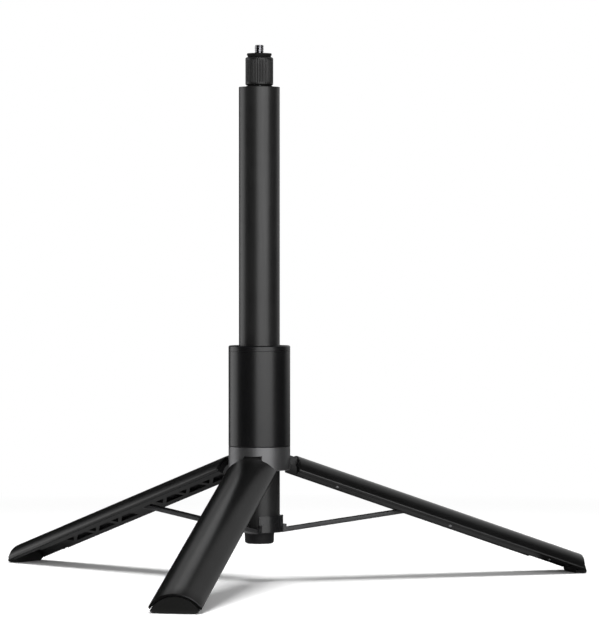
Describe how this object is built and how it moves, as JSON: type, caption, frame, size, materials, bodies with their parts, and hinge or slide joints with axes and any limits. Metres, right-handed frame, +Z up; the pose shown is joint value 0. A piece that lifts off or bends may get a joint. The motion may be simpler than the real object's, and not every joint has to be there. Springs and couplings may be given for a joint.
{
  "type": "tripod selfie stick",
  "caption": "Black telescopic selfie stick whose split handle opens into tripod legs, with a pole that slides through a hub and a camera stud under a knurled lock nut.",
  "frame": {"origin": "on the floor, in the middle of the box round the open legs' footprint", "axes": "+Z up along the pole, +X across the two rear legs, -Y along the front leg"},
  "size_m": [0.4224, 0.3671, 0.3659],
  "materials": {
    "black_tube": "satin black anodised",
    "black_plastic": "fine matt",
    "grey_plastic": "satin",
    "leg_plastic": "satin",
    "rubber": "matt",
    "steel": "bright",
    "nylon": "plain",
    "strut_metal": "satin grey",
    "knurled_aluminium": "black anodised, knurled"
  },
  "bodies": {
    "hub": {"hub_ring": "grey_plastic", "collar_sleeve": "black_plastic", "collar_trim": "black_plastic", "upper_bush": "nylon", "friction_ring": "rubber", "lower_bush": "nylon", "leg_pin_1": "steel", "leg_pin_2": "steel", "leg_pin_3": "steel"},
    "pole": {"pole_tube": "black_tube", "runner_ring": "grey_plastic", "pole_plug": "black_plastic", "end_cap": "black_plastic", "cap_screw": "steel"},
    "leg_1": {"leg_shell_1": "leg_plastic", "leg_frame_1": "black_plastic", "foot_1": "rubber", "strut_joint_pin_1": "steel"},
    "leg_2": {"leg_shell_2": "leg_plastic", "leg_frame_2": "black_plastic", "foot_2": "rubber", "strut_joint_pin_2": "steel"},
    "leg_3": {"leg_shell_3": "leg_plastic", "leg_frame_3": "black_plastic", "foot_3": "rubber", "strut_joint_pin_3": "steel"},
    "strut_1": {"strut_1": "strut_metal", "runner_pin_1": "steel"},
    "strut_2": {"strut_2": "strut_metal", "runner_pin_2": "steel"},
    "strut_3": {"strut_3": "strut_metal", "runner_pin_3": "steel"},
    "section_2": {"section_2_tube": "black_tube", "section_2_glide": "nylon"},
    "section_3": {"section_3_tube": "black_tube", "section_3_glide": "nylon"},
    "section_4": {"section_4_tube": "black_tube", "section_4_glide": "nylon"},
    "section_5": {"section_5_tube": "black_tube", "section_5_glide": "nylon"},
    "section_6": {"section_6_tube": "black_tube", "section_6_glide": "nylon", "head_spindle": "steel"},
    "seat_pad": {"seat_pad": "rubber"},
    "lock_nut": {"lock_nut": "knurled_aluminium"}
  },
  "joints": [
    {"name": "pole_slide", "type": "slide", "parent": "hub", "child": "pole", "axis": [0, 0, -1], "range_m": [0, 0.16707]},
    {"name": "leg_1_fold", "type": "hinge", "parent": "hub", "child": "leg_1", "pos_m": [0, 0.03433, 0.08417], "axis": [1, 0, 0], "range_deg": [0, 70.87]},
    {"name": "leg_2_fold", "type": "hinge", "parent": "hub", "child": "leg_2", "pos_m": [0.01472, 0.05983, 0.08417], "axis": [-0.5, 0.866, 0], "range_deg": [0, 70.87]},
    {"name": "leg_3_fold", "type": "hinge", "parent": "hub", "child": "leg_3", "pos_m": [-0.01472, 0.05983, 0.08417], "axis": [-0.5, -0.866, 0], "range_deg": [0, 70.87]},
    {"name": "strut_1_swing", "type": "hinge", "parent": "leg_1", "child": "strut_1", "pos_m": [0, -0.07, 0.04777], "axis": [-1, 0, 0], "range_deg": [0, 153.31]},
    {"name": "strut_2_swing", "type": "hinge", "parent": "leg_2", "child": "strut_2", "pos_m": [0.10508, 0.112, 0.04777], "axis": [0.5, -0.866, 0], "range_deg": [0, 153.31]},
    {"name": "strut_3_swing", "type": "hinge", "parent": "leg_3", "child": "strut_3", "pos_m": [-0.10508, 0.112, 0.04777], "axis": [0.5, 0.866, 0], "range_deg": [0, 153.31]},
    {"name": "section_2_slide", "type": "slide", "parent": "pole", "child": "section_2", "axis": [0, 0, 1], "range_m": [0, 0.27]},
    {"name": "section_3_slide", "type": "slide", "parent": "section_2", "child": "section_3", "axis": [0, 0, 1], "range_m": [0, 0.27]},
    {"name": "section_4_slide", "type": "slide", "parent": "section_3", "child": "section_4", "axis": [0, 0, 1], "range_m": [0, 0.27]},
    {"name": "section_5_slide", "type": "slide", "parent": "section_4", "child": "section_5", "axis": [0, 0, 1], "range_m": [0, 0.27]},
    {"name": "section_6_slide", "type": "slide", "parent": "section_5", "child": "section_6", "axis": [0, 0, 1], "range_m": [0, 0.27]},
    {"name": "seat_pad_rise", "type": "slide", "parent": "section_6", "child": "seat_pad", "axis": [0, 0, 1], "range_m": [0, 0.00255]},
    {"name": "lock_nut_turn", "type": "hinge", "parent": "seat_pad", "child": "lock_nut", "pos_m": [0, 0.05133, 0.348], "axis": [0, 0, 1], "range_deg": [0, 720]}
  ],
  "couplings": [
    {"joint": "leg_1_fold", "follows": "pole_slide", "rad_per_m": 7.4035},
    {"joint": "leg_2_fold", "follows": "pole_slide", "rad_per_m": 7.4035},
    {"joint": "leg_3_fold", "follows": "pole_slide", "rad_per_m": 7.4035},
    {"joint": "strut_1_swing", "follows": "pole_slide", "rad_per_m": 16.016},
    {"joint": "strut_2_swing", "follows": "pole_slide", "rad_per_m": 16.016},
    {"joint": "strut_3_swing", "follows": "pole_slide", "rad_per_m": 16.016},
    {"joint": "seat_pad_rise", "follows": "lock_nut_turn", "m_per_rad": 0.00020213}
  ]
}
